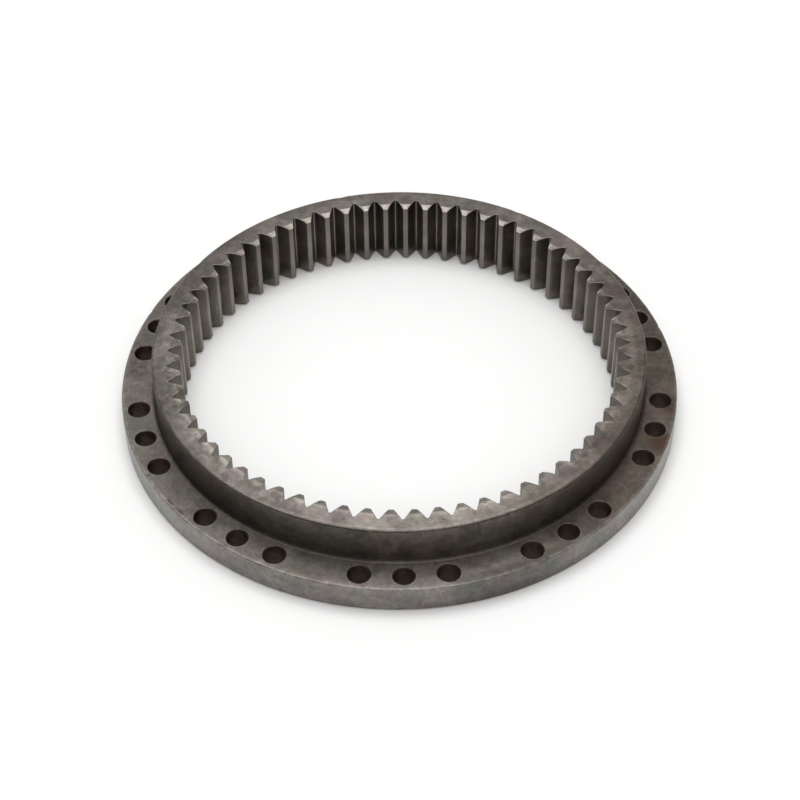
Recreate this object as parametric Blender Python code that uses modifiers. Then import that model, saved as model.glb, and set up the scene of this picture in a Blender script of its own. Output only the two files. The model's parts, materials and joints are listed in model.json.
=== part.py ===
"""Flanged internal ring gear, made as one steel forging.

A low, wide flange carries thirty through holes in ten groups of three. A thicker rim rises from
it, and 64 straight teeth are cut inside the rim over its full height. The ends of the teeth are
turned back to a shallow cone towards the bore.

The origin is the centre of the flange's underside and +Z is the gear's axis. The middle hole of
one group, and the tooth space in line with it, lie on -Y.
"""

from math import acos, cos, pi, radians, sin, tan

import bmesh
import bpy
from mathutils import Matrix

MM = 0.001

# The turned blank
FLANGE_RADIUS = 200 * MM
FLANGE_THICKNESS = 21 * MM
FLANGE_CHAMFER = 1 * MM
RIM_RADIUS = 176 * MM
RIM_EDGE_RADIUS = 1.6 * MM
HEIGHT = 51 * MM
NECK_FILLET_RADIUS = 2.4 * MM
CORNER_STEPS = 2
TURNING_STEPS = 128

# The teeth: involute flanks, thicker at the pitch circle than the spaces between them
TEETH = 64
PITCH_RADIUS = 160 * MM
PRESSURE_ANGLE = radians(30)
TOOTH_THICKNESS_AT_PITCH = 8.7 * MM
TIP_RADIUS = 155.4 * MM
ROOT_RADIUS = 165 * MM
ROOT_FILLET_RADIUS = 1.15 * MM
FLANK_STEPS = 3
ROOT_STEPS = 4
END_CONE_RADIUS = 160.4 * MM
END_CONE_ANGLE = radians(15)

# The holes through the flange
HOLE_CIRCLE_RADIUS = 188 * MM
HOLE_GROUPS = 10
HOLE_SPACING = radians(9)
OUTER_HOLE_RADIUS = 7.75 * MM
MIDDLE_HOLE_RADIUS = 7.35 * MM
HOLE_SIDES = 18

FRONT = -pi / 2
CUTTER_OVERSHOOT = 2 * MM
MERGE_DISTANCE = 0.01 * MM
SHARP_ANGLE = radians(28)

STEEL_COLOUR = (0.17, 0.152, 0.14, 1.0)
STEEL_ROUGHNESS = 0.45
STEEL_METALLIC = 1.0


def clear_scene():
    """Remove whatever objects the open file holds."""
    for old_object in list(bpy.data.objects):
        bpy.data.objects.remove(old_object, do_unlink=True)


def new_collection(name):
    """Add a collection to the scene."""
    collection = bpy.data.collections.new(name)
    bpy.context.scene.collection.children.link(collection)
    return collection


def forged_steel():
    """The material: machined steel with a thin brown oxide."""
    material = bpy.data.materials.new("forged_steel")
    material.use_nodes = True
    shader = material.node_tree.nodes["Principled BSDF"]
    shader.inputs["Base Color"].default_value = STEEL_COLOUR
    shader.inputs["Roughness"].default_value = STEEL_ROUGHNESS
    shader.inputs["Metallic"].default_value = STEEL_METALLIC
    return material


def arc(centre_radius, centre_height, radius, start, end, steps):
    """Points (radius, height) along an arc, with both of its ends."""
    angles = [start + (end - start) * step / steps for step in range(steps + 1)]
    return [(centre_radius + radius * cos(a), centre_height + radius * sin(a)) for a in angles]


def blank_profile():
    """The blank's cross-section, from the rim's top down its outer side and back up the bore."""
    cone_drop = (END_CONE_RADIUS - TIP_RADIUS) * tan(END_CONE_ANGLE)
    rim_edge = arc(
        RIM_RADIUS - RIM_EDGE_RADIUS, HEIGHT - RIM_EDGE_RADIUS, RIM_EDGE_RADIUS, pi / 2, 0, CORNER_STEPS
    )
    neck = arc(
        RIM_RADIUS + NECK_FILLET_RADIUS,
        FLANGE_THICKNESS + NECK_FILLET_RADIUS,
        NECK_FILLET_RADIUS,
        pi,
        3 * pi / 2,
        CORNER_STEPS,
    )
    flange_edge = [
        (FLANGE_RADIUS - FLANGE_CHAMFER, FLANGE_THICKNESS),
        (FLANGE_RADIUS, FLANGE_THICKNESS - FLANGE_CHAMFER),
        (FLANGE_RADIUS, FLANGE_CHAMFER),
        (FLANGE_RADIUS - FLANGE_CHAMFER, 0),
    ]
    bore = [
        (END_CONE_RADIUS, 0),
        (TIP_RADIUS, cone_drop),
        (TIP_RADIUS, HEIGHT - cone_drop),
        (END_CONE_RADIUS, HEIGHT),
    ]
    return rim_edge + neck + flange_edge + bore


def turned_blank(collection):
    """Turn the blank's cross-section about the gear's axis."""
    profile = blank_profile()
    mesh = bpy.data.meshes.new("ring_gear")
    vertices = [(radius, 0, height) for radius, height in profile]
    edges = [(index, (index + 1) % len(profile)) for index in range(len(profile))]
    mesh.from_pydata(vertices, edges, [])
    blank = bpy.data.objects.new("ring_gear", mesh)
    collection.objects.link(blank)
    screw = blank.modifiers.new("turning", "SCREW")
    screw.axis = "Z"
    screw.steps = TURNING_STEPS
    screw.render_steps = TURNING_STEPS
    screw.use_merge_vertices = True
    screw.merge_threshold = MERGE_DISTANCE
    return blank


def involute(angle):
    """The involute function of a pressure angle."""
    return tan(angle) - angle


def pressure_angle_at(radius):
    """The flank's angle to the radius that meets it at this distance from the axis."""
    return acos(PITCH_RADIUS * cos(PRESSURE_ANGLE) / radius)


def half_space_at(radius):
    """Half the angle that a tooth space spans at this distance from the axis."""
    half_tooth_at_pitch = TOOTH_THICKNESS_AT_PITCH / (2 * PITCH_RADIUS)
    growth = involute(pressure_angle_at(radius)) - involute(PRESSURE_ANGLE)
    return pi / TEETH - half_tooth_at_pitch - growth


def tooth_space():
    """One tooth space as (radius, angle) points, from one flank round the root to the other."""
    inner_radius = TIP_RADIUS - CUTTER_OVERSHOOT
    fillet_centre = ROOT_RADIUS - ROOT_FILLET_RADIUS
    fillet_sweep = pi / 2 - pressure_angle_at(ROOT_RADIUS)
    flank_end = fillet_centre + ROOT_FILLET_RADIUS * cos(fillet_sweep)
    rising = []
    for step in range(FLANK_STEPS):
        radius = inner_radius + (flank_end - inner_radius) * step / FLANK_STEPS
        rising.append((radius, -half_space_at(radius)))
    root = []
    for along, across in arc(fillet_centre, 0, ROOT_FILLET_RADIUS, -fillet_sweep, fillet_sweep, ROOT_STEPS):
        root.append((along, across / along))
    falling = [(radius, -angle) for radius, angle in reversed(rising)]
    return rising + root + falling


def tooth_space_cutter(collection):
    """All the tooth spaces and the bore between them, as one upright prism."""
    outline = bpy.data.curves.new("tooth_spaces", "CURVE")
    outline.dimensions = "2D"
    outline.fill_mode = "BOTH"
    outline.extrude = HEIGHT / 2 + CUTTER_OVERSHOOT
    points = []
    for tooth in range(TEETH):
        centre = FRONT + 2 * pi * tooth / TEETH
        for radius, angle in tooth_space():
            points.append((radius * cos(centre + angle), radius * sin(centre + angle), 0, 1))
    spline = outline.splines.new("POLY")
    spline.points.add(len(points) - 1)
    for spline_point, point in zip(spline.points, points):
        spline_point.co = point
    spline.use_cyclic_u = True
    drawn = bpy.data.objects.new("tooth_spaces_outline", outline)
    drawn.location.z = HEIGHT / 2
    collection.objects.link(drawn)
    return welded_mesh_from(drawn, "tooth_spaces", collection)


def welded_mesh_from(curve_object, name, collection):
    """Replace a curve object by a mesh object of the same shape with its caps welded on."""
    depsgraph = bpy.context.evaluated_depsgraph_get()
    mesh = bpy.data.meshes.new_from_object(curve_object.evaluated_get(depsgraph))
    shape = bmesh.new()
    shape.from_mesh(mesh)
    bmesh.ops.remove_doubles(shape, verts=shape.verts, dist=MERGE_DISTANCE)
    bmesh.ops.recalc_face_normals(shape, faces=shape.faces)
    shape.to_mesh(mesh)
    shape.free()
    mesh_object = bpy.data.objects.new(name, mesh)
    mesh_object.matrix_world = curve_object.matrix_world
    collection.objects.link(mesh_object)
    bpy.data.objects.remove(curve_object, do_unlink=True)
    return mesh_object


def hole_cutter(name, radius, angle, collection):
    """A drill for one hole through the flange."""
    mesh = bpy.data.meshes.new(name)
    shape = bmesh.new()
    bmesh.ops.create_cone(
        shape,
        cap_ends=True,
        segments=HOLE_SIDES,
        radius1=radius,
        radius2=radius,
        depth=FLANGE_THICKNESS + 2 * CUTTER_OVERSHOOT,
        matrix=Matrix.Translation((HOLE_CIRCLE_RADIUS, 0, FLANGE_THICKNESS / 2)),
    )
    shape.to_mesh(mesh)
    shape.free()
    cutter = bpy.data.objects.new(name, mesh)
    cutter.rotation_euler.z = angle
    collection.objects.link(cutter)
    return cutter


def hole_cutters(collection):
    """Ten groups of three holes, with the middle one of each group a little smaller."""
    for group in range(HOLE_GROUPS):
        group_angle = FRONT + 2 * pi * group / HOLE_GROUPS
        for place in (-1, 0, 1):
            radius = MIDDLE_HOLE_RADIUS if place == 0 else OUTER_HOLE_RADIUS
            name = f"hole_{group + 1}_{place + 2}"
            hole_cutter(name, radius, group_angle + place * HOLE_SPACING, collection)


def cut(blank, cutters):
    """Take every cutter away from the blank and keep the result as the blank's own mesh."""
    boolean = blank.modifiers.new("cutting", "BOOLEAN")
    boolean.operation = "DIFFERENCE"
    boolean.solver = "EXACT"
    boolean.operand_type = "COLLECTION"
    boolean.collection = cutters
    depsgraph = bpy.context.evaluated_depsgraph_get()
    finished = bpy.data.meshes.new_from_object(blank.evaluated_get(depsgraph))
    blank.modifiers.clear()
    blank.data = finished


def finish(gear, cutters):
    """Smooth the round faces, give the gear its steel and hide the cutters."""
    gear.data.shade_smooth()
    gear.data.set_sharp_from_angle(angle=SHARP_ANGLE)
    gear.data.materials.clear()
    gear.data.materials.append(forged_steel())
    for cutter in cutters.objects:
        cutter.hide_render = True
        cutter.display_type = "WIRE"


def main():
    clear_scene()
    parts = new_collection("flanged_internal_ring_gear")
    cutters = new_collection("cutters")
    gear = turned_blank(parts)
    tooth_space_cutter(cutters)
    hole_cutters(cutters)
    cut(gear, cutters)
    finish(gear, cutters)


main()
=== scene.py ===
"""A flanged internal ring gear of machined steel, lying on a pale studio floor.

The gear is one piece of steel, so one piece here stands for its CAD node. Its mesh is laid out in
upright slices through the gear's axis: close together round the teeth, and four times as far
apart outside them. Lengths are in millimetres until the mesh is made, and so are the places and
distances in the steel's shader.
"""

import json
from math import acos, cos, degrees, hypot, pi, radians, sin, tan

import bmesh
import bpy
from mathutils import Matrix, Vector

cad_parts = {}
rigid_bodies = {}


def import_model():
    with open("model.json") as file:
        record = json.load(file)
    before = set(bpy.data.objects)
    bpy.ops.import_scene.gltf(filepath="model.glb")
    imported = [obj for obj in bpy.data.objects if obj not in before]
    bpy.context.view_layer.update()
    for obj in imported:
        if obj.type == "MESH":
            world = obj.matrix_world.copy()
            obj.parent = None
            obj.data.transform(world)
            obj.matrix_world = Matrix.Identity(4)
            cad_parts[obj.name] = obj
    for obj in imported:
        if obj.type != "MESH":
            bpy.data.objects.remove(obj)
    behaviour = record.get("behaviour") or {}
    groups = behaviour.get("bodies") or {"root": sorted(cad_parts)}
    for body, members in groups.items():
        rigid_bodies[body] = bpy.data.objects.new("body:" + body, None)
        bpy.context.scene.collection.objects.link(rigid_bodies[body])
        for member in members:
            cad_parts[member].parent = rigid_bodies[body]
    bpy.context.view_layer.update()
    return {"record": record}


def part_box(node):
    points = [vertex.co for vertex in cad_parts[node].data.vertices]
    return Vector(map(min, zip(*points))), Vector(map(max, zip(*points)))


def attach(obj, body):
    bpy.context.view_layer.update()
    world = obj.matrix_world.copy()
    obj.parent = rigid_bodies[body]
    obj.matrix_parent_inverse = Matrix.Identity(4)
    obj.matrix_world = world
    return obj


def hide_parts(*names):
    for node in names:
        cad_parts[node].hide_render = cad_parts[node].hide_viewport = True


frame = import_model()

MM = 0.001
GEAR = "ring_gear"

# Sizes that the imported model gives
gear_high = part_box(GEAR)[1]
mounts = {mount["name"]: mount for mount in frame["record"]["mounts"]}
openings = {opening["name"]: opening["box_m"] for opening in frame["record"]["physics"]["openings"]}
HEIGHT = gear_high.z / MM
FLANGE_RADIUS = gear_high.x / MM
FLANGE_TOP = mounts["flange_top"]["pos_m"][2] / MM

# The turned outside
RIM_RADIUS = 176
RIM_EDGE_RADIUS = 1.6
NECK_FILLET_RADIUS = 2.4
FLANGE_EDGE_RADIUS = 1.2
FOOT_CHAMFER = 1.2
CORNER_RADIUS = 0.35

# The teeth
TEETH = 64
PITCH_RADIUS = 160
PRESSURE_ANGLE = radians(30)
TOOTH_THICKNESS_AT_PITCH = 8.7
TIP_RADIUS = 155.4
TIP_CORNER_RADIUS = 0.8
ROOT_RADIUS = 165
ROOT_FILLET_RADIUS = 1.15
END_CONE_RADIUS = 160.4
END_CONE_SLOPE = tan(radians(15))
TOOTH_EDGE_RADIUS = 0.45
LEAST_FACING = 0.4

# The holes through the flange
OUTER_HOLE_RADIUS = 7.75
MIDDLE_HOLE_RADIUS = 7.35
HOLE_CHAMFER = 0.5
HOLE_CIRCLE_RADIUS = 188
HOLE_GROUP_ANGLE = radians(36)
HOLE_SPACING = radians(9)
HOLE_SIDES = 48

# The mesh
JOIN_RADIUS = 167
OUTER_START_RADIUS = 168
ROOT_MARGIN = 0.7
CONE_FOLD_STEPS = (0.7, 0.2, -0.2, -0.7)
LEAST_GAP = 0.04
ROOT_STEPS = 5
FLANK_STEPS = 6
TIP_CORNER_STEPS = 3
TIP_STEPS = 4
SLICES_PER_OUTER_SLICE = 4
WALL_STEPS = 6
EDGE_STEPS = 3
RIM_TOP_STEPS = 3
RIM_EDGE_STEPS = 6
RIM_WALL_STEPS = 7
NECK_STEPS = 5
FLANGE_TOP_STEPS = 5
FLANGE_EDGE_STEPS = 5
FLANGE_SIDE_STEPS = 6
UNDERSIDE_STEPS = 5
SHARP_ANGLE = radians(32)

# Knocks on the outer edges, as (angle in degrees, reach, depth)
FLANGE_KNOCKS = (
    (-171, 3.2, 0.5), (-152, 2.8, 0.4), (-127.5, 3.4, 0.55), (-118, 2.6, 0.4), (-104, 3, 0.35),
    (-82.5, 2.8, 0.45), (-61, 3.4, 0.5), (-47, 2.8, 0.35), (-24, 3.2, 0.5), (-9, 2.6, 0.35),
    (14, 3, 0.4), (47, 3.2, 0.45), (83, 2.8, 0.4), (121, 3.4, 0.5), (158, 3, 0.4),
)
RIM_KNOCKS = (
    (-163, 2.8, 0.4), (-131, 3, 0.35), (-97, 2.6, 0.3), (-66, 3, 0.35), (-33, 2.8, 0.3),
    (8, 3, 0.35), (58, 2.8, 0.3), (104, 3.2, 0.4), (147, 2.8, 0.35),
)

# One long bruise along the flange's edge, a knock for each degree
BRUISE_ANGLES = range(-144, -135)
BRUISE_INSET = 0.6
BRUISE_REACH = 2.6
BRUISE_PUSH = (-0.25, -0.45)

# Stains on the flange, as (radius, angle in degrees, reach)
RUST_PLACES = ((196, -21.5, 15), (196, -10, 14))
SMEAR_PLACES = ((190, 176, 16),)
GOUGE_PLACES = ((197.4, -143, 5), (197.4, -139.5, 5))
GOUGE_INNER_EDGE = (195.8, 196.6)
GOUGE_OUTER_EDGE = (198.0, 198.8)

FRONT = -pi / 2


# ---- The gear's shape ----

def arc(centre_radius, centre_height, radius, start, end, steps):
    """Points (radius, height) along an arc, with both of its ends. Angles in degrees."""
    angles = [radians(start + (end - start) * step / steps) for step in range(steps + 1)]
    return [(centre_radius + radius * cos(a), centre_height + radius * sin(a)) for a in angles]


def between(start, end, steps):
    """Points that part a straight line into equal steps, without its ends."""
    return [
        tuple(a + (b - a) * step / steps for a, b in zip(start, end)) for step in range(1, steps)
    ]


def involute(angle):
    """The involute function of a pressure angle."""
    return tan(angle) - angle


def pressure_angle_at(radius):
    """The flank's angle to the radius that meets it at this distance from the axis."""
    return acos(PITCH_RADIUS * cos(PRESSURE_ANGLE) / radius)


def half_space_at(radius):
    """Half the angle that a tooth space spans at this distance from the axis."""
    half_tooth_at_pitch = TOOTH_THICKNESS_AT_PITCH / (2 * PITCH_RADIUS)
    growth = involute(pressure_angle_at(radius)) - involute(PRESSURE_ANGLE)
    return pi / TEETH - half_tooth_at_pitch - growth


def root_points():
    """(radius, angle) from the middle of a tooth space round its root to the start of a flank."""
    centre = ROOT_RADIUS - ROOT_FILLET_RADIUS
    sweep = 90 - degrees(pressure_angle_at(ROOT_RADIUS))
    points = arc(centre, 0, ROOT_FILLET_RADIUS, 0, sweep, ROOT_STEPS)
    return [(along, across / along) for along, across in points]


def tip_corner():
    """The rounded corner between a flank and the tooth's tip, as (radius, angle)."""
    corner_angle = half_space_at(TIP_RADIUS)
    slope = pressure_angle_at(TIP_RADIUS)
    opening = (pi / 2 + slope) / 2
    centre_radius = TIP_RADIUS + TIP_CORNER_RADIUS
    run_up = TIP_CORNER_RADIUS / tan(opening)
    centre_across = TIP_RADIUS * corner_angle + run_up
    points = []
    for step in range(TIP_CORNER_STEPS + 1):
        turn = slope + (pi / 2 - slope) * step / TIP_CORNER_STEPS
        radius = centre_radius - TIP_CORNER_RADIUS * sin(turn)
        across = centre_across - TIP_CORNER_RADIUS * cos(turn)
        points.append((radius, across / TIP_RADIUS))
    return points


def half_tooth():
    """Half a tooth pitch in plan, from the middle of a space to the middle of a tooth."""
    root = root_points()
    corner = tip_corner()
    flank_start, flank_end = root[-1][0], corner[0][0]
    flank = []
    for step in range(1, FLANK_STEPS):
        radius = flank_start + (flank_end - flank_start) * step / FLANK_STEPS
        flank.append((radius, half_space_at(radius)))
    tip = between(corner[-1], (TIP_RADIUS, pi / TEETH), TIP_STEPS)
    return root + flank + corner + tip


def tooth_outline():
    """All the teeth in plan as (radius, angle), anticlockwise, starting in the front space."""
    half = half_tooth()
    middle_of_tooth = [(TIP_RADIUS, pi / TEETH)]
    other_half = [(radius, 2 * pi / TEETH - angle) for radius, angle in reversed(half[1:])]
    pitch = half + middle_of_tooth + other_half
    outline = []
    for tooth in range(TEETH):
        start = FRONT + tooth * 2 * pi / TEETH
        outline += [(radius, start + angle) for radius, angle in pitch]
    return outline


def facing_axis(outline, index):
    """How squarely the tooth outline faces the gear's axis at a point, from 0 to 1."""
    radius_before, angle_before = outline[index - 1]
    radius_after, angle_after = outline[(index + 1) % len(outline)]
    turn = (angle_after - angle_before) % (2 * pi)
    along = turn * (radius_before + radius_after) / 2
    return along / hypot(along, radius_after - radius_before)


def end_height(radius):
    """Height of the gear's top face, which turns down to a cone over the teeth's ends."""
    return HEIGHT - max(0, END_CONE_RADIUS - radius) * END_CONE_SLOPE


def tooth_end(wall_radius, facing):
    """One slice's top, as (radius, height) from outside the teeth in to the tooth's wall.

    The rounded edge is wider in a slice that cuts the wall at a slant, and a point that would
    lie past that edge waits just outside it.
    """
    inset = TOOTH_EDGE_RADIUS / max(facing, LEAST_FACING)
    edge_radius = wall_radius + inset
    wanted = [JOIN_RADIUS, ROOT_RADIUS + ROOT_MARGIN]
    wanted += [END_CONE_RADIUS + step for step in CONE_FOLD_STEPS]
    points = []
    for place, radius in enumerate(wanted):
        radius = max(radius, edge_radius + LEAST_GAP * (len(wanted) - place))
        points.append((radius, end_height(radius)))
    edge_height = end_height(edge_radius)
    for step in range(EDGE_STEPS + 1):
        turn = pi / 2 * step / EDGE_STEPS
        points.append(
            (edge_radius - inset * sin(turn), edge_height - TOOTH_EDGE_RADIUS * (1 - cos(turn)))
        )
    return points


def tooth_slice(wall_radius, facing):
    """One slice of the toothed inside, from the top face round to the underside."""
    top = tooth_end(wall_radius, facing)
    bottom = [(radius, HEIGHT - height) for radius, height in reversed(top)]
    return top + between(top[-1], bottom[0], WALL_STEPS) + bottom


def corner(before, point, after):
    """A corner of the section rounded to a small radius, as three points."""
    to_before = Vector(before) - Vector(point)
    to_after = Vector(after) - Vector(point)
    half_angle = to_before.angle(to_after) / 2
    run = CORNER_RADIUS / tan(half_angle)
    first = Vector(point) + to_before.normalized() * run
    last = Vector(point) + to_after.normalized() * run
    inwards = (to_before.normalized() + to_after.normalized()).normalized()
    centre = Vector(point) + inwards * (CORNER_RADIUS / sin(half_angle))
    middle = centre - inwards * CORNER_RADIUS
    return [tuple(first), tuple(middle), tuple(last)]


def outer_slice():
    """One slice of the outside, from the rim's top down and under to the flange's underside."""
    top_start = (OUTER_START_RADIUS, HEIGHT)
    rim_edge = arc(
        RIM_RADIUS - RIM_EDGE_RADIUS, HEIGHT - RIM_EDGE_RADIUS, RIM_EDGE_RADIUS,
        90, 0, RIM_EDGE_STEPS,
    )
    neck = arc(
        RIM_RADIUS + NECK_FILLET_RADIUS, FLANGE_TOP + NECK_FILLET_RADIUS, NECK_FILLET_RADIUS,
        180, 270, NECK_STEPS,
    )
    upper_edge = arc(
        FLANGE_RADIUS - FLANGE_EDGE_RADIUS, FLANGE_TOP - FLANGE_EDGE_RADIUS, FLANGE_EDGE_RADIUS,
        90, 0, FLANGE_EDGE_STEPS,
    )
    foot_out = (FLANGE_RADIUS, FOOT_CHAMFER)
    foot_in = (FLANGE_RADIUS - FOOT_CHAMFER, 0)
    bottom_end = (OUTER_START_RADIUS, 0)
    lower_edge = corner(upper_edge[-1], foot_out, foot_in) + corner(foot_out, foot_in, bottom_end)
    points = [top_start] + between(top_start, rim_edge[0], RIM_TOP_STEPS) + rim_edge
    points += between(rim_edge[-1], neck[0], RIM_WALL_STEPS) + neck
    points += between(neck[-1], upper_edge[0], FLANGE_TOP_STEPS) + upper_edge
    points += between(upper_edge[-1], lower_edge[0], FLANGE_SIDE_STEPS) + lower_edge
    points += between(lower_edge[-1], bottom_end, UNDERSIDE_STEPS) + [bottom_end]
    return points


def add_slices(mesh, slices):
    """Add each slice's points (radius, angle, height) as vertices and join neighbouring slices."""
    rows = []
    for points in slices:
        rows.append([
            mesh.verts.new((radius * cos(angle) * MM, radius * sin(angle) * MM, height * MM))
            for radius, angle, height in points
        ])
    for here, following in zip(rows, rows[1:] + rows[:1]):
        for place in range(len(here) - 1):
            mesh.faces.new((here[place], here[place + 1], following[place + 1], following[place]))
    return rows


def join_zones(mesh, toothed_rows, outer_rows, end):
    """Fill the flat ring between the toothed slices' ends and the wider spaced outer slices."""
    for index, outer_row in enumerate(outer_rows):
        next_outer_row = outer_rows[(index + 1) % len(outer_rows)]
        first = index * SLICES_PER_OUTER_SLICE
        inner = [
            toothed_rows[(first + step) % len(toothed_rows)][end]
            for step in range(SLICES_PER_OUTER_SLICE + 1)
        ]
        loop = inner + [next_outer_row[end], outer_row[end]]
        mesh.faces.new(loop if end == -1 else loop[::-1])


def gear_mesh():
    """The whole gear without its holes."""
    outline = tooth_outline()
    toothed = []
    for index, (wall_radius, angle) in enumerate(outline):
        section = tooth_slice(wall_radius, facing_axis(outline, index))
        toothed.append([(radius, angle, height) for radius, height in section])
    outside = outer_slice()
    outer = []
    for _, angle in outline[::SLICES_PER_OUTER_SLICE]:
        outer.append([(radius, angle, height) for radius, height in outside])
    mesh = bmesh.new()
    toothed_rows = add_slices(mesh, toothed)
    outer_rows = add_slices(mesh, outer)
    join_zones(mesh, toothed_rows, outer_rows, 0)
    join_zones(mesh, toothed_rows, outer_rows, -1)
    bmesh.ops.recalc_face_normals(mesh, faces=mesh.faces)
    data = bpy.data.meshes.new("forged_gear")
    mesh.to_mesh(data)
    mesh.free()
    return data


# ---- Wear ----

def dent(mesh_data, radius, angle, height, reach, push):
    """Press the surface in about a point. The push is (outwards, upwards), mostly negative."""
    turn = radians(angle)
    centre = Vector((radius * cos(turn), radius * sin(turn), height)) * MM
    outwards, upwards = push
    move = Vector((outwards * cos(turn), outwards * sin(turn), upwards)) * MM
    for vertex in mesh_data.vertices:
        distance = (vertex.co - centre).length / (reach * MM)
        if distance < 1:
            vertex.co += move * (1 - distance * distance) ** 2


def knock_edges(mesh_data):
    """Small knocks along the flange's and the rim's outer edges, and one long bruise."""
    bruise_radius = FLANGE_RADIUS - BRUISE_INSET
    for angle in BRUISE_ANGLES:
        dent(mesh_data, bruise_radius, angle, FLANGE_TOP, BRUISE_REACH, BRUISE_PUSH)
    for angle, reach, depth in FLANGE_KNOCKS:
        dent(mesh_data, FLANGE_RADIUS, angle, FLANGE_TOP, reach, (-depth, -depth))
    for angle, reach, depth in RIM_KNOCKS:
        dent(mesh_data, RIM_RADIUS, angle, HEIGHT, reach, (-depth, -depth))


# ---- The holes ----

def hole_profile(radius):
    """A hole's cutter from under the flange to over it, with both rims chamfered."""
    over = 2
    wide = radius + HOLE_CHAMFER + over
    return [
        (wide, -over),
        (radius, HOLE_CHAMFER),
        (radius, FLANGE_TOP - HOLE_CHAMFER),
        (wide, FLANGE_TOP + over),
    ]


def hole_cutter(centre_x, centre_y, radius):
    """A turned cutter for one hole, standing at its place in the flange."""
    mesh = bmesh.new()
    rings = []
    for ring_radius, height in hole_profile(radius):
        ring = []
        for side in range(HOLE_SIDES):
            angle = 2 * pi * side / HOLE_SIDES
            x = centre_x + ring_radius * MM * cos(angle)
            y = centre_y + ring_radius * MM * sin(angle)
            ring.append(mesh.verts.new((x, y, height * MM)))
        rings.append(ring)
    for lower, upper in zip(rings, rings[1:]):
        for side in range(HOLE_SIDES):
            after = (side + 1) % HOLE_SIDES
            mesh.faces.new((lower[side], lower[after], upper[after], upper[side]))
    mesh.faces.new(rings[0][::-1])
    mesh.faces.new(rings[-1])
    data = bpy.data.meshes.new("hole_cutter")
    mesh.to_mesh(data)
    mesh.free()
    return bpy.data.objects.new("hole_cutter", data)


def hole_cutters():
    """A cutter for each hole that the record states as an opening."""
    cutters = bpy.data.collections.new("cutters")
    for name, (low, high) in openings.items():
        if not name.startswith("hole_"):
            continue
        radius = MIDDLE_HOLE_RADIUS if name.endswith("_2") else OUTER_HOLE_RADIUS
        centre_x, centre_y = (low[0] + high[0]) / 2, (low[1] + high[1]) / 2
        cutters.objects.link(hole_cutter(centre_x, centre_y, radius))
    return cutters


def drill(gear):
    """Cut the holes and keep the result as the gear's own mesh."""
    cutters = hole_cutters()
    bpy.context.scene.collection.children.link(cutters)
    boolean = gear.modifiers.new("holes", "BOOLEAN")
    boolean.operation = "DIFFERENCE"
    boolean.operand_type = "COLLECTION"
    boolean.collection = cutters
    boolean.solver = "EXACT"
    depsgraph = bpy.context.evaluated_depsgraph_get()
    drilled = bpy.data.meshes.new_from_object(gear.evaluated_get(depsgraph), depsgraph=depsgraph)
    gear.modifiers.clear()
    gear.data = drilled
    drilled.name = "forged_gear"
    for cutter in list(cutters.objects):
        bpy.data.objects.remove(cutter, do_unlink=True)
    bpy.data.collections.remove(cutters)


# ---- Materials ----

STEEL = (0.262, 0.238, 0.220, 1)
BRIGHT_STEEL = (0.42, 0.39, 0.36, 1)
FLANGE_STEEL = (0.165, 0.149, 0.137, 1)
BROWNED_STEEL = (0.105, 0.087, 0.074, 1)
BROWNED_RIM = (0.142, 0.121, 0.107, 1)
# Darker steel for the rim's top at the left, and painted shade towards the back
DARKER_RIM = (0.187, 0.169, 0.155, 1)
# A lighter copy of the steel: painted light on the teeth's end cones at the front
LIT_TOOTH_END_STEEL = (0.335, 0.307, 0.283, 1)
TOOTH_SPACE_STEEL = (0.200, 0.180, 0.164, 1)
WALL_STEEL = (0.066, 0.057, 0.048, 1)
# A lighter copy of the wall's steel: painted light on the wall's front
LIT_FRONT_WALL_STEEL = (0.135, 0.120, 0.103, 1)
BROWNED_WALL = (0.086, 0.069, 0.054, 1)
OUTSIDE_STEEL = (0.255, 0.244, 0.232, 1)
# A darker copy of the outside's steel: painted shade on the outside's front
SHADED_FRONT_OUTSIDE_STEEL = (0.207, 0.196, 0.186, 1)
FLANK_STEEL = (0.155, 0.139, 0.124, 1)
BORE_STEEL = (0.145, 0.113, 0.094, 1)
RUST = (0.078, 0.048, 0.032, 1)
GRIME = (0.045, 0.038, 0.032, 1)
PINK_TINT = (1.05, 0.98, 0.99, 1)
OLIVE_TINT = (0.96, 1.01, 0.95, 1)
FLOOR_PAPER = (0.94, 0.94, 0.94, 1)
STUDIO_WHITE = (1.0, 0.995, 0.985, 1)
MACHINING_DEPTH = 0.02
OXIDE_DEPTH = 0.05
PIT_DEPTH = 0.15
SCRATCH_WIDTH = 0.35

# How much some edges are darkened or lightened at their most; the rim's rounded edge and the neck's
# corner get painted shade
ROUNDED_RIM_SHADE = 0.58
NECK_SHADE = 0.38
FRONT_RIGHT_DARKENING = 0.40
FRONT_BAND_LIGHTENING = 0.42


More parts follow.
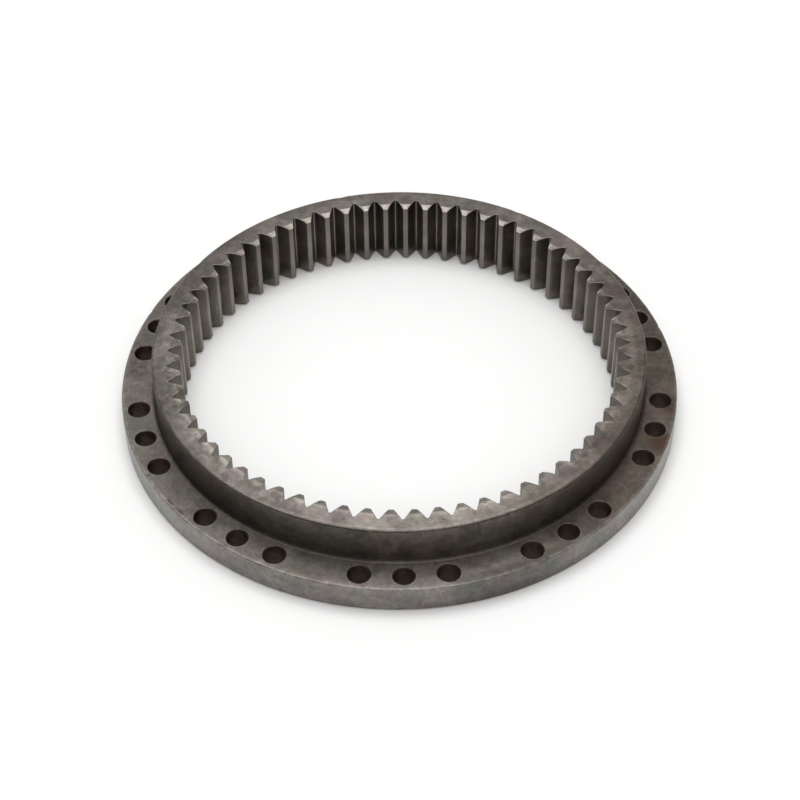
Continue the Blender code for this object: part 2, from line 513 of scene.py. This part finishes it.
class Nodes:
    """A short way to add shader nodes to a material or a world."""

    def __init__(self, owner):
        owner.use_nodes = True
        self.tree = owner.node_tree
        self.tree.nodes.clear()

    def add(self, kind, settings=None, **inputs):
        """Add a node. Each input is a value, or the output socket that feeds it."""
        node = self.tree.nodes.new(kind)
        for name, value in (settings or {}).items():
            setattr(node, name, value)
        for name, value in inputs.items():
            key = int(name[1:]) if name[0] == "_" else name.replace("_", " ")
            socket = node.inputs[key]
            if isinstance(value, bpy.types.NodeSocket):
                self.tree.links.new(value, socket)
            else:
                socket.default_value = value
        return node

    def math(self, operation, *values):
        """A Math node of that operation."""
        inputs = {f"_{place}": value for place, value in enumerate(values)}
        return self.add("ShaderNodeMath", {"operation": operation}, **inputs).outputs[0]

    def vector(self, operation, *values, output="Vector", **inputs):
        """A Vector Math node of that operation."""
        inputs.update({f"_{place}": value for place, value in enumerate(values)})
        node = self.add("ShaderNodeVectorMath", {"operation": operation}, **inputs)
        return node.outputs[output]

    def split(self, vector):
        """The three components of a vector."""
        return self.add("ShaderNodeSeparateXYZ", Vector=vector).outputs[:3]

    def join(self, x, y, z):
        """A vector of three components."""
        return self.add("ShaderNodeCombineXYZ", X=x, Y=y, Z=z).outputs[0]

    def product(self, *values):
        """All the values multiplied together."""
        total = values[0]
        for value in values[1:]:
            total = self.math("MULTIPLY", total, value)
        return total

    def ramp(self, value, low, high, to_low=0.0, to_high=1.0):
        """A smooth step between two values of the input."""
        settings = {"interpolation_type": "SMOOTHSTEP"}
        inputs = {"Value": value, "From_Min": low, "From_Max": high}
        inputs.update({"To_Min": to_low, "To_Max": to_high})
        return self.add("ShaderNodeMapRange", settings, **inputs).outputs[0]

    def noise(self, vector, scale, detail=4.0, roughness=0.55, distortion=0.0):
        """A noise texture's value."""
        inputs = {"Vector": vector, "Scale": scale, "Detail": detail}
        inputs.update({"Roughness": roughness, "Distortion": distortion})
        return self.add("ShaderNodeTexNoise", **inputs).outputs[0]

    def mix(self, factor, first, second, blend="MIX"):
        """Mix two colours."""
        node = self.add("ShaderNodeMix", {"data_type": "RGBA", "blend_type": blend})
        for place, value in ((0, factor), (6, first), (7, second)):
            if isinstance(value, bpy.types.NodeSocket):
                self.tree.links.new(value, node.inputs[place])
            else:
                node.inputs[place].default_value = value
        return node.outputs[2]


def gear_zones(nodes):
    """Where a point of the gear lies: its coordinates, and a mask from 0 to 1 for each surface."""
    where = nodes.add("ShaderNodeTexCoord").outputs["Object"]
    place = nodes.vector("SCALE", where, Scale=1 / MM)
    level_place = nodes.vector("MULTIPLY", place, (1, 1, 0))
    radius = nodes.vector("LENGTH", level_place, output="Value")
    x, y, z = nodes.split(place)
    normal = nodes.add("ShaderNodeNewGeometry").outputs["Normal"]
    level = nodes.math("ABSOLUTE", nodes.split(normal)[2])
    outwards = nodes.vector("NORMALIZE", level_place)
    facing = nodes.math("ABSOLUTE", nodes.vector("DOT_PRODUCT", normal, outwards, output="Value"))
    flat = nodes.ramp(level, 0.75, 0.93)
    upright = nodes.math("SUBTRACT", 1.0, flat)
    beyond_rim = nodes.ramp(radius, RIM_RADIUS - 0.6, RIM_RADIUS - 0.1)
    above_flange = nodes.ramp(z, FLANGE_TOP - 0.6, FLANGE_TOP - 0.1)
    before_edge = nodes.ramp(radius, FLANGE_RADIUS - 1.6, FLANGE_RADIUS - 0.4, 1, 0)
    return {
        "place": place, "radius": radius, "x": x, "y": y, "z": z,
        "beyond_rim": nodes.product(beyond_rim, above_flange),
        "flange": nodes.product(flat, beyond_rim, above_flange),
        "wall": nodes.product(upright, beyond_rim, above_flange, before_edge),
        "outside": nodes.ramp(radius, FLANGE_RADIUS - 0.9, FLANGE_RADIUS - 0.5),
        "tooth_ends": nodes.product(
            flat, nodes.ramp(radius, END_CONE_RADIUS - 0.2, END_CONE_RADIUS + 0.4, 1, 0)
        ),
        "rubbed_ends": nodes.product(
            flat,
            nodes.ramp(z, HEIGHT - 4, HEIGHT - 3),
            nodes.ramp(radius, ROOT_RADIUS, ROOT_RADIUS + 7, 1, 0),
        ),
        "flanks": nodes.product(
            upright,
            nodes.ramp(radius, JOIN_RADIUS, JOIN_RADIUS + 1, 1, 0),
            nodes.ramp(facing, 0.7, 0.93, 1, 0),
        ),
        "toothed": nodes.product(upright, nodes.ramp(radius, JOIN_RADIUS, JOIN_RADIUS + 1, 1, 0)),
        "bores": nodes.product(
            upright,
            nodes.ramp(radius, RIM_RADIUS + 3, RIM_RADIUS + 4),
            before_edge,
            nodes.math("SUBTRACT", 1.0, nodes.ramp(z, FLANGE_TOP - 0.1, FLANGE_TOP + 0.1)),
        ),
    }


def near(nodes, zones, radius, angle, reach):
    """A soft round patch about a point of the gear, given by its radius and angle in degrees."""
    centre = (radius * cos(radians(angle)), radius * sin(radians(angle)), 0)
    level_place = nodes.vector("MULTIPLY", zones["place"], (1, 1, 0))
    distance = nodes.vector("DISTANCE", level_place, centre, output="Value")
    return nodes.ramp(distance, reach * 0.3, reach, 1, 0)


def stained(nodes, zones, places):
    """1 within the soft round patches at those places."""
    total = near(nodes, zones, *places[0])
    for place in places[1:]:
        total = nodes.math("MAXIMUM", total, near(nodes, zones, *place))
    return total


def oxide(nodes, zones):
    """The uneven oxide and handling marks, each as a value about 0.5."""
    place = zones["place"]
    return {
        "clouds": nodes.noise(place, 0.014, 3, 0.5),
        "patina": nodes.noise(place, 0.05, 6, 0.62, 0.4),
        "blotches": nodes.noise(place, 0.24, 4, 0.6, 0.6),
        "speckle": nodes.noise(place, 1.1, 3, 0.6),
        "tint": nodes.noise(place, 0.06, 3, 0.5),
    }


def pits(nodes, place, spacing, size, share):
    """Small scattered pits: 1 inside a pit. The share is how many of the cells hold one."""
    settings = {"feature": "F1", "distance": "EUCLIDEAN"}
    cells = nodes.add("ShaderNodeTexVoronoi", settings, Vector=place, Scale=1 / spacing)
    chosen = nodes.split(cells.outputs["Color"])[0]
    inside = nodes.ramp(cells.outputs["Distance"], size * 0.5 / spacing, size / spacing, 1, 0)
    return nodes.product(inside, nodes.math("GREATER_THAN", chosen, 1 - share))


def scratches(nodes, place, angle, spread, length):
    """Thin straight scratches that run one way, where the noise is at its highest."""
    turned = nodes.add("ShaderNodeMapping", Vector=place, Rotation=(0, 0, radians(angle)))
    squeeze = (1 / length, 1 / SCRATCH_WIDTH, 0.05)
    stretched = nodes.vector("MULTIPLY", turned.outputs[0], squeeze)
    lines = nodes.ramp(nodes.noise(stretched, 1.0, 1, 0.3), 0.74, 0.80)
    return nodes.product(lines, nodes.ramp(nodes.noise(place, spread, 2), 0.5, 0.6))


def surface_marks(nodes, zones):
    """Turning marks, tooth shaping marks, pits and scratches."""
    place = zones["place"]
    wander = nodes.math("MULTIPLY", nodes.noise(place, 0.01, 1), 4.0)
    turning_place = nodes.join(zones["radius"], zones["z"], wander)
    shaping_place = nodes.vector("MULTIPLY", place, (1, 1, 0.02))
    first = scratches(nodes, place, 24, 0.021, 60)
    second = scratches(nodes, place, -57, 0.027, 45)
    third = scratches(nodes, place, 81, 0.018, 80)
    return {
        "turning": nodes.noise(turning_place, 1.9, 3, 0.6),
        "turning_bands": nodes.noise(turning_place, 0.28, 2, 0.5),
        "shaping": nodes.noise(shaping_place, 1.3, 3, 0.6),
        "pits": nodes.math(
            "MAXIMUM", pits(nodes, place, 9, 0.9, 0.4), pits(nodes, place, 3.5, 0.4, 0.35)
        ),
        "scratches": nodes.math("MAXIMUM", nodes.math("MAXIMUM", first, second), third),
    }


def hole_distance(nodes, zones):
    """Distance from the nearest hole's axis, found in one folded group of three holes."""
    turn = nodes.math("ARCTAN2", zones["y"], zones["x"])
    from_front = nodes.math("SUBTRACT", turn, FRONT - HOLE_GROUP_ANGLE / 2)
    in_group = nodes.math("FLOORED_MODULO", from_front, HOLE_GROUP_ANGLE)
    folded = nodes.math("ABSOLUTE", nodes.math("SUBTRACT", in_group, HOLE_GROUP_ANGLE / 2))
    across = nodes.math("MULTIPLY", zones["radius"], nodes.math("SINE", folded))
    along = nodes.math("MULTIPLY", zones["radius"], nodes.math("COSINE", folded))
    folded_place = nodes.join(along, across, 0.0)
    distances = []
    for hole_turn in (0, HOLE_SPACING):
        hole = (HOLE_CIRCLE_RADIUS * cos(hole_turn), HOLE_CIRCLE_RADIUS * sin(hole_turn), 0)
        distances.append(nodes.vector("DISTANCE", folded_place, hole, output="Value"))
    return nodes.math("MINIMUM", *distances)


def worn_edges(nodes, zones, dirt):
    """1 along the edges that handling has rubbed bright."""
    radius, z = zones["radius"], zones["z"]
    flange_edge = nodes.product(
        nodes.ramp(radius, FLANGE_RADIUS - 3, FLANGE_RADIUS - 0.6),
        nodes.ramp(z, FLANGE_TOP - 1.6, FLANGE_TOP - 1),
    )
    from_hole = hole_distance(nodes, zones)
    hole_edge = nodes.product(
        nodes.ramp(from_hole, OUTER_HOLE_RADIUS + 0.7, OUTER_HOLE_RADIUS + 1.5, 0.4, 0),
        zones["flange"],
    )
    edges = nodes.math("MAXIMUM", flange_edge, hole_edge)
    edges = nodes.product(edges, nodes.ramp(dirt["blotches"], 0.3, 0.65, 0.35, 1.0))
    rim_edge = nodes.product(
        nodes.ramp(radius, RIM_RADIUS - 1.6, RIM_RADIUS - 0.6),
        nodes.ramp(z, HEIGHT - 1.6, HEIGHT - 0.8),
        nodes.ramp(zones["x"], 75, 110),
        nodes.ramp(zones["y"], -25, 10),
    )
    return nodes.math("MAXIMUM", edges, rim_edge)


def edge_tone(nodes, zones):
    """How much darker or lighter the steel is along some of the edges: 1 is no change. The front of
    the rim's rounded edge and the neck's corner get painted shade.
    """
    x, y, z, radius = zones["x"], zones["y"], zones["z"], zones["radius"]
    # Painted shade on the front of the rim's rounded outer edge
    rounded_rim_shade = nodes.product(
        nodes.ramp(radius, RIM_RADIUS - 2.6, RIM_RADIUS - 1.2),
        nodes.ramp(z, HEIGHT - 1.4, HEIGHT - 0.8),
        nodes.ramp(y, 0, 60, ROUNDED_RIM_SHADE, 0),
        nodes.ramp(nodes.math("ABSOLUTE", x), 40, 120, 1, 0.35),
    )
    # Painted shade in the corner at the foot of the rim's wall
    neck = nodes.product(
        nodes.ramp(radius, RIM_RADIUS, RIM_RADIUS + 0.4),
        nodes.ramp(radius, RIM_RADIUS + 2.0, RIM_RADIUS + 3.0, NECK_SHADE, 0),
        nodes.ramp(z, FLANGE_TOP - 0.6, FLANGE_TOP - 0.1),
    )
    # Darker towards the front right of the flange
    darker_front_right = nodes.product(
        nodes.ramp(x, 15, 50),
        nodes.ramp(x, 92, 122, FRONT_RIGHT_DARKENING, 0.03),
        nodes.ramp(y, -60, -20, 1, 0),
        nodes.ramp(radius, 189, 198),
    )
    # A lighter band on the top face just outside the teeth's end cones, at the front
    lighter_front_band = nodes.product(
        zones["rubbed_ends"],
        nodes.ramp(radius, END_CONE_RADIUS + 0.1, END_CONE_RADIUS + 0.4),
        nodes.ramp(radius, END_CONE_RADIUS + 0.8, END_CONE_RADIUS + 4.5, FRONT_BAND_LIGHTENING, 0),
        nodes.ramp(y, -60, 0, 1, 0),
    )
    return nodes.product(
        nodes.math("SUBTRACT", 1.0, rounded_rim_shade),
        nodes.math("SUBTRACT", 1.0, neck),
        nodes.math("SUBTRACT", 1.0, darker_front_right),
        nodes.math("ADD", 1.0, lighter_front_band),
    )


def rubbed_ends(nodes, zones):
    """Paler patches on the teeth's ends, most of them at the front left."""
    x, y = zones["x"], zones["y"]
    patchy = nodes.ramp(nodes.noise(zones["place"], 0.13, 3, 0.45), 0.40, 0.54)
    front_left = nodes.product(nodes.ramp(x, -110, -30, 1, 0), nodes.ramp(y, -5, 30, 1, 0))
    everywhere = nodes.ramp(y, 10, 70, 0.22, 0.04)
    share = nodes.math("ADD", everywhere, nodes.product(front_left, 0.25))
    return nodes.product(zones["rubbed_ends"], patchy, share)


def inner_colour(nodes, zones):
    """The rim's top and the teeth: darker at the left and, as painted shade, towards the back,
    browner at the right, with painted light on the teeth's end cones at the front.
    """
    x, y = zones["x"], zones["y"]
    # Darker rim colour at the left, and painted shade towards the back
    left = nodes.ramp(x, -150, -20, 1, 0)
    back = nodes.ramp(y, 20, 160, 0, 0.5)
    colour = nodes.mix(nodes.math("MAXIMUM", left, back), STEEL, DARKER_RIM)
    right = nodes.product(nodes.ramp(x, 0, 160), nodes.ramp(y, 30, 130, 1, 0))
    colour = nodes.mix(right, colour, BROWNED_RIM)
    # Painted light: the teeth's end cones lighter at the front
    lit_front_ends = nodes.product(zones["tooth_ends"], nodes.ramp(y, -130, -20, 1, 0.15))
    colour = nodes.mix(lit_front_ends, colour, LIT_TOOTH_END_STEEL)
    colour = nodes.mix(rubbed_ends(nodes, zones), colour, BRIGHT_STEEL)
    return nodes.mix(zones["toothed"], colour, TOOTH_SPACE_STEEL)


def outer_colour(nodes, zones, colour):
    """The flange, the rim's wall, the outside, the flanks and the bores, over a first colour. The
    wall's front gets painted light and the outside's front painted shade.
    """
    x, y = zones["x"], zones["y"]
    colour = nodes.mix(zones["beyond_rim"], colour, FLANGE_STEEL)
    right_side = nodes.product(zones["flange"], nodes.ramp(x, 40, 150), 0.9)
    colour = nodes.mix(right_side, colour, BROWNED_STEEL)
    wall = nodes.mix(nodes.ramp(x, 50, 130), WALL_STEEL, BROWNED_WALL)
    # Painted light: the wall lighter at the front
    wall = nodes.mix(nodes.ramp(y, -168, -125, 1, 0), wall, LIT_FRONT_WALL_STEEL)
    colour = nodes.mix(zones["wall"], colour, wall)
    # Painted shade: the outside darker at the front
    outside = nodes.mix(nodes.ramp(y, -192, -120, 1, 0), OUTSIDE_STEEL, SHADED_FRONT_OUTSIDE_STEEL)
    colour = nodes.mix(zones["outside"], colour, outside)
    colour = nodes.mix(zones["flanks"], colour, FLANK_STEEL)
    return nodes.mix(zones["bores"], colour, BORE_STEEL)


def oxide_tone(nodes, zones, dirt, marks):
    """How much darker or lighter the uneven oxide and the turning bands make the steel, and the
    teeth darker towards their top: 1 is no change.
    """
    mottle = nodes.product(
        nodes.ramp(dirt["blotches"], 0.3, 0.7, 0.84, 1.16),
        nodes.ramp(dirt["speckle"], 0.3, 0.7, 0.84, 1.16),
    )
    # Darker towards the top of the teeth
    upper_teeth = nodes.product(zones["toothed"], nodes.ramp(zones["z"], 26, 50), 0.25)
    return nodes.product(
        nodes.ramp(dirt["clouds"], 0.3, 0.7, 0.88, 1.12),
        nodes.ramp(dirt["patina"], 0.36, 0.64, 0.86, 1.16),
        nodes.math("POWER", mottle, nodes.ramp(zones["toothed"], 0, 1, 1, 0.35)),
        nodes.ramp(marks["turning_bands"], 0.3, 0.7, 0.96, 1.04),
        nodes.math("SUBTRACT", 1.0, upper_teeth),
    )


def add_stains(nodes, zones, dirt, colour):
    """Rust and a smear on the flange, a gouge along its edge, and smudges on the rim's wall."""
    radius, blotches = zones["radius"], dirt["blotches"]
    rust = nodes.product(
        stained(nodes, zones, RUST_PLACES), zones["flange"], nodes.ramp(blotches, 0.30, 0.50), 0.95
    )
    colour = nodes.mix(rust, colour, RUST)
    smear = nodes.product(
        stained(nodes, zones, SMEAR_PLACES), zones["flange"], nodes.ramp(blotches, 0.42, 0.56), 0.6
    )
    colour = nodes.mix(smear, colour, GRIME)
    gouge = nodes.product(
        stained(nodes, zones, GOUGE_PLACES),
        nodes.ramp(radius, *GOUGE_INNER_EDGE),
        nodes.ramp(radius, *GOUGE_OUTER_EDGE, 1, 0),
        nodes.ramp(blotches, 0.36, 0.50),
        0.8,
    )
    colour = nodes.mix(gouge, colour, GRIME)
    smudges = nodes.product(zones["wall"], nodes.ramp(dirt["patina"], 0.46, 0.60), 0.55)
    return nodes.mix(smudges, colour, GRIME)


def steel_colour(nodes, zones, dirt, marks):
    """Bare, oiled steel, darker and browner where the oxide is thicker, with painted light and
    painted shade on some surfaces and edges.
    """
    colour = outer_colour(nodes, zones, inner_colour(nodes, zones))
    tint = nodes.mix(nodes.ramp(dirt["tint"], 0.35, 0.65), PINK_TINT, OLIVE_TINT)
    colour = nodes.mix(1.0, colour, tint, "MULTIPLY")
    # The edge tone holds painted shade on the rim's rounded edge and the neck's corner
    tone = nodes.product(oxide_tone(nodes, zones, dirt, marks), edge_tone(nodes, zones))
    colour = nodes.vector("SCALE", colour, Scale=tone)
    colour = add_stains(nodes, zones, dirt, colour)
    colour = nodes.mix(nodes.product(marks["pits"], 0.7), colour, GRIME)
    colour = nodes.mix(nodes.product(marks["scratches"], 0.4), colour, BRIGHT_STEEL)
    worn = nodes.product(
        worn_edges(nodes, zones, dirt),
        nodes.ramp(zones["y"], -185, -150, 0.28, 0.5),
        nodes.ramp(zones["x"], 10, 60, 1, 0.6),
    )
    return nodes.mix(worn, colour, BRIGHT_STEEL)


def steel_roughness(nodes, zones, dirt, marks):
    """Satin where the steel is bare, duller under oxide."""
    base = nodes.ramp(dirt["patina"], 0.35, 0.65, 0.33, 0.45)
    fine = nodes.ramp(dirt["speckle"], 0.3, 0.7, -0.03, 0.03)
    bands = nodes.ramp(marks["turning_bands"], 0.3, 0.7, -0.02, 0.02)
    scratched = nodes.math("MULTIPLY", marks["scratches"], -0.08)
    total = nodes.math("ADD", nodes.math("ADD", base, fine), nodes.math("ADD", bands, scratched))
    duller = nodes.math("MAXIMUM", zones["bores"], nodes.product(zones["beyond_rim"], 0.7))
    return nodes.math("ADD", total, nodes.product(duller, 0.15))


def steel_normal(nodes, zones, dirt, marks):
    """The relief of the machining marks, the pits and the slightly uneven oxide."""
    turned = nodes.product(marks["turning"], nodes.math("SUBTRACT", 1.0, zones["toothed"]))
    shaped = nodes.product(marks["shaping"], zones["toothed"])
    cut = nodes.math("ADD", turned, shaped)
    machined = nodes.add("ShaderNodeBump", Height=cut, Strength=0.6, Distance=MACHINING_DEPTH * MM)
    rough = nodes.add(
        "ShaderNodeBump", Height=dirt["blotches"], Strength=0.6, Distance=OXIDE_DEPTH * MM,
        Normal=machined.outputs[0],
    )
    holes = nodes.math("MULTIPLY", marks["pits"], -1.0)
    return nodes.add(
        "ShaderNodeBump", Height=holes, Strength=0.8, Distance=PIT_DEPTH * MM,
        Normal=rough.outputs[0],
    ).outputs[0]


def steel_material():
    """Machined steel under a thin, uneven brown oxide."""
    material = bpy.data.materials.new("forged_steel")
    nodes = Nodes(material)
    zones = gear_zones(nodes)
    dirt = oxide(nodes, zones)
    marks = surface_marks(nodes, zones)
    shader = nodes.add(
        "ShaderNodeBsdfPrincipled",
        Base_Color=steel_colour(nodes, zones, dirt, marks),
        Metallic=1.0,
        Roughness=steel_roughness(nodes, zones, dirt, marks),
        Normal=steel_normal(nodes, zones, dirt, marks),
    )
    nodes.add("ShaderNodeOutputMaterial", Surface=shader.outputs[0])
    return material


def floor_material():
    """Plain matt white paper."""
    material = bpy.data.materials.new("studio_floor")
    nodes = Nodes(material)
    shader = nodes.add("ShaderNodeBsdfPrincipled", Base_Color=FLOOR_PAPER, Roughness=0.9)
    nodes.add("ShaderNodeOutputMaterial", Surface=shader.outputs[0])
    return material


# ---- The studio, in metres ----

CAMERA_DISTANCE = 1.3953
CAMERA_ELEVATION = radians(44.62)
CAMERA_AZIMUTH = radians(-90.48)
CAMERA_ROLL = radians(-0.69)
CAMERA_LENS = 85.85
CAMERA_SENSOR = 36
CAMERA_SHIFT = (0.0007, -0.0040)

FLOOR_RADIUS = 6
FLOOR_SIDES = 96
LIGHT_TARGET = (0, 0, 0.03)


def add_camera():
    """A long lens looking down at the gear from the front."""
    data = bpy.data.cameras.new("camera")
    data.lens = CAMERA_LENS
    data.sensor_width = CAMERA_SENSOR
    data.shift_x, data.shift_y = CAMERA_SHIFT
    camera = bpy.data.objects.new("camera", data)
    bpy.context.scene.collection.objects.link(camera)
    back = Vector((
        cos(CAMERA_ELEVATION) * cos(CAMERA_AZIMUTH),
        cos(CAMERA_ELEVATION) * sin(CAMERA_AZIMUTH),
        sin(CAMERA_ELEVATION),
    ))
    right = Vector((0, 0, 1)).cross(back).normalized()
    up = back.cross(right)
    across = cos(CAMERA_ROLL) * right + sin(CAMERA_ROLL) * up
    upwards = -sin(CAMERA_ROLL) * right + cos(CAMERA_ROLL) * up
    matrix = Matrix((across, upwards, back)).transposed().to_4x4()
    matrix.translation = back * CAMERA_DISTANCE
    camera.matrix_world = matrix
    bpy.context.scene.camera = camera


def add_floor():
    """A round sheet of pale paper under the gear."""
    mesh = bmesh.new()
    bmesh.ops.create_circle(mesh, cap_ends=True, segments=FLOOR_SIDES, radius=FLOOR_RADIUS)
    data = bpy.data.meshes.new("studio_floor")
    mesh.to_mesh(data)
    mesh.free()
    data.materials.append(floor_material())
    floor = bpy.data.objects.new("studio_floor", data)
    bpy.context.scene.collection.objects.link(floor)


def add_softbox(name, position, size, power):
    """A rectangular soft light that faces the gear."""
    data = bpy.data.lights.new(name, "AREA")
    data.shape = "RECTANGLE"
    data.size, data.size_y = size
    data.energy = power
    light = bpy.data.objects.new(name, data)
    light.location = position
    away = Vector(position) - Vector(LIGHT_TARGET)
    light.rotation_euler = away.to_track_quat("Z", "Y").to_euler()
    bpy.context.scene.collection.objects.link(light)


def add_world():
    """Even white studio walls, brighter overhead and dimmer behind the camera."""
    world = bpy.data.worlds.new("studio")
    bpy.context.scene.world = world
    nodes = Nodes(world)
    direction = nodes.add("ShaderNodeTexCoord").outputs["Generated"]
    _, depth, height = nodes.split(direction)
    overhead = nodes.ramp(height, 0.84, 0.99, 0.0, 1.3)
    walls = nodes.ramp(depth, -0.8, 0.2, 0.32, 0.52)
    upper_walls = nodes.ramp(height, 0.35, 0.8, 0.0, 0.06)
    brightness = nodes.math("ADD", overhead, nodes.math("ADD", walls, upper_walls))
    background = nodes.add("ShaderNodeBackground", Color=STUDIO_WHITE, Strength=brightness)
    nodes.add("ShaderNodeOutputWorld", Surface=background.outputs[0])


# ---- Everything together ----

add_camera()
add_floor()
add_world()
add_softbox("overhead_softbox", position=(-0.12, 0.40, 2.0), size=(1.3, 0.9), power=14)
add_softbox("front_softbox", position=(0.1, -1.9, 1.9), size=(1.8, 1.0), power=12)
bpy.context.scene.view_settings.view_transform = "Standard"

gear = bpy.data.objects.new("forged_ring_gear", gear_mesh())
bpy.context.scene.collection.objects.link(gear)
knock_edges(gear.data)
drill(gear)
gear.data.materials.clear()
gear.data.materials.append(steel_material())
gear.data.shade_smooth()
gear.data.set_sharp_from_angle(angle=SHARP_ANGLE)

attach(gear, "root")
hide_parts(GEAR)
